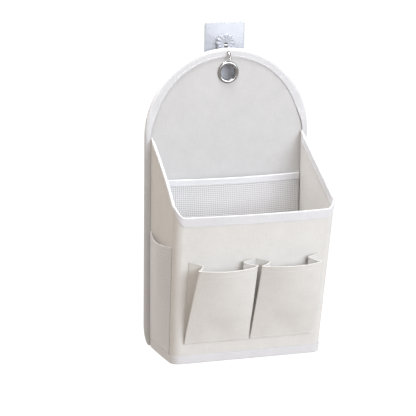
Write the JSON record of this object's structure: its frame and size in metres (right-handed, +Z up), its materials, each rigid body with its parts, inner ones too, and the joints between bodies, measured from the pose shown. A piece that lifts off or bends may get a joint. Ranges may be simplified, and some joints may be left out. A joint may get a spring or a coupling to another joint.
{
  "type": "hanging bedside caddy",
  "caption": "Arched canvas hanging caddy with bound edges, mesh pockets and pleated front pockets, hung by its eyelet on a clear adhesive wall hook.",
  "frame": {"origin": "on the adhesive pad's wall face, straight behind the centre of the boss", "axes": "+Z up, +Y into the wall, the caddy's front faces -Y, +X to the right seen from the front"},
  "size_m": [0.235, 0.1757, 0.4436],
  "materials": {
    "canvas": "plain-woven off-white canvas, matt",
    "lining_canvas": "plain-woven off-white canvas, matt",
    "white_tape": "white ribbed binding tape, slight sheen",
    "white_mesh": "white knitted mesh",
    "board": "plain stiffening board",
    "nickel": "polished nickel plate",
    "steel": "bright drawn steel",
    "clear_plastic": "clear moulded plastic",
    "adhesive": "clear double-sided adhesive"
  },
  "bodies": {
    "wall_hook": {"adhesive_pad": "adhesive", "hook_plate": "clear_plastic", "hook_boss": "clear_plastic", "hook_pin": "steel"},
    "hook": {"steel_hook": "steel"},
    "caddy": {"back_panel": "lining_canvas", "back_board": "board", "back_cover": "canvas", "back_binding": "white_tape", "left_side_panel": "canvas", "right_side_panel": "canvas", "front_panel": "canvas", "bottom_panel": "canvas", "base_board": "board", "rim_binding": "white_tape", "bottom_binding": "white_tape", "inner_mesh_pocket": "white_mesh", "inner_mesh_binding": "white_tape", "left_mesh_pocket": "white_mesh", "right_mesh_pocket": "white_mesh", "left_front_pocket": "canvas", "right_front_pocket": "canvas", "eyelet_grommet": "nickel", "eyelet_washer": "nickel"}
  },
  "joints": [
    {"name": "hook_flip", "type": "hinge", "parent": "wall_hook", "child": "hook", "pos_m": [0, -0.0058, -0.0025], "axis": [1, 0, 0], "range_deg": [-45, 0]},
    {"name": "caddy_swing", "type": "hinge", "parent": "hook", "child": "caddy", "pos_m": [0, -0.0158, -0.03], "axis": [0, 1, 0], "range_deg": [-20, 20]}
  ]
}
